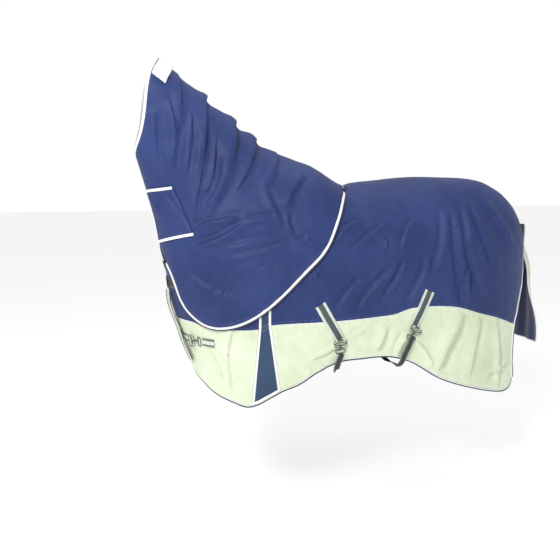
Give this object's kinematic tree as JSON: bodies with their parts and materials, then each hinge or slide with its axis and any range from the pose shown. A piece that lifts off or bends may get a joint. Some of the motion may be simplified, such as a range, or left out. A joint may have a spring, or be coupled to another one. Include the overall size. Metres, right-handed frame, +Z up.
{
  "type": "turnout rug",
  "caption": "Waterproof horse turnout rug with neck cover, chest fastenings, crossed belly straps and tail flap.",
  "frame": {"origin": "on the centre plane inside the lining at the withers, where the rug rests on the horse's back", "axes": "+X towards the tail, +Y towards the horse's right (off) side, +Z up"},
  "size_m": [2.0189, 0.6961, 1.5231],
  "materials": {
    "navy_cloth": "coated ripstop weave",
    "pale_cloth": "coated weave",
    "gusset_cloth": "coated weave",
    "lining_cloth": "smooth lining",
    "wadding": "fibre wadding",
    "white_piping": "piping cord in tape",
    "dark_binding": "woven tape",
    "edged_webbing": "webbing with white edges",
    "dark_webbing": "polypropylene webbing",
    "steel": "plated",
    "fleece": "fleece"
  },
  "bodies": {
    "body_rug": {"lining_near": "lining_cloth", "lining_off": "lining_cloth", "wadding_near": "wadding", "wadding_off": "wadding", "shell_near": "navy_cloth", "shell_off": "navy_cloth", "chest_panel_near": "pale_cloth", "chest_panel_off": "pale_cloth", "gusset_near": "gusset_cloth", "gusset_off": "gusset_cloth", "gusset_piping_near": "white_piping", "gusset_piping_off": "white_piping", "skirt_near": "pale_cloth", "skirt_off": "pale_cloth", "hem_piping_near": "white_piping", "hem_piping_off": "white_piping", "hem_binding_near": "dark_binding", "hem_binding_off": "dark_binding", "rim_piping_near": "white_piping", "rim_piping_off": "white_piping", "rim_binding_near": "dark_binding", "rim_binding_off": "dark_binding", "front_patch_near": "edged_webbing", "front_patch_off": "edged_webbing", "rear_patch_near": "edged_webbing", "rear_patch_off": "edged_webbing", "wither_tab": "dark_binding", "front_slot_plate": "steel", "rear_slot_plate": "steel", "front_belly_strap": "dark_webbing", "rear_belly_strap": "dark_webbing", "upper_chest_strap_near": "dark_webbing", "upper_chest_strap_off": "dark_webbing", "chest_buckle_frame": "steel", "upper_strap_tail": "edged_webbing", "lower_chest_patch_near": "edged_webbing", "lower_chest_patch_off": "edged_webbing", "chest_slot_plate": "steel"},
    "neck_cover": {"neck_lining_near": "lining_cloth", "neck_lining_off": "lining_cloth", "neck_shell_near": "navy_cloth", "neck_shell_off": "navy_cloth", "neck_front_piping_near": "white_piping", "neck_front_piping_off": "white_piping", "bib_piping_near": "white_piping", "bib_piping_off": "white_piping", "bib_binding_near": "dark_binding", "bib_binding_off": "dark_binding", "poll_pad": "fleece"},
    "throat_flap": {"throat_flap": "navy_cloth", "throat_flap_piping": "white_piping"},
    "tail_flap": {"tail_flap": "pale_cloth", "tail_flap_piping": "white_piping"},
    "front_t_hook": {"front_t_hook": "steel"},
    "rear_t_hook": {"rear_t_hook": "steel"},
    "chest_t_hook": {"chest_t_hook": "steel"},
    "buckle_prong": {"chest_buckle_prong": "steel"},
    "front_slider": {"front_strap_slider": "steel"},
    "rear_slider": {"rear_strap_slider": "steel"}
  },
  "joints": [
    {"name": "neck_cover_lift", "type": "hinge", "parent": "body_rug", "child": "neck_cover", "pos_m": [0.262, 0, -0.08], "axis": [0, 1, 0], "range_deg": [0, 12]},
    {"name": "throat_flap_open", "type": "hinge", "parent": "neck_cover", "child": "throat_flap", "pos_m": [-0.49285, -0.15459, -0.18648], "axis": [-0.3404, 0.2757, 0.899], "range_deg": [0, 100]},
    {"name": "tail_flap_lift", "type": "hinge", "parent": "body_rug", "child": "tail_flap", "pos_m": [1.262, 0, -0.282], "axis": [0, -1, 0], "range_deg": [0, 70]},
    {"name": "front_hook_tilt", "type": "hinge", "parent": "body_rug", "child": "front_t_hook", "pos_m": [0.15459, -0.31348, -0.80179], "axis": [0.9934, -0.058, 0.0993], "range_deg": [0, 8]},
    {"name": "rear_hook_tilt", "type": "hinge", "parent": "body_rug", "child": "rear_t_hook", "pos_m": [0.48745, -0.32524, -0.76272], "axis": [0.9037, -0.0027, -0.4281], "range_deg": [0, 8]},
    {"name": "chest_hook_tilt", "type": "hinge", "parent": "body_rug", "child": "chest_t_hook", "pos_m": [-0.43145, -0.1528, -0.74994], "axis": [-0.1357, -0.2453, 0.9599], "range_deg": [0, 8]},
    {"name": "buckle_prong_lift", "type": "hinge", "parent": "body_rug", "child": "buckle_prong", "pos_m": [-0.55546, -0.02003, -0.50397], "axis": [0.1033, 0.0155, -0.9945], "range_deg": [0, 80]},
    {"name": "front_slider_travel", "type": "slide", "parent": "body_rug", "child": "front_slider", "axis": [0.5847, 0.8113, 0], "range_m": [-0.02, 0.02]},
    {"name": "rear_slider_travel", "type": "slide", "parent": "body_rug", "child": "rear_slider", "axis": [-0.5237, 0.8519, 0], "range_m": [-0.02, 0.02]}
  ]
}
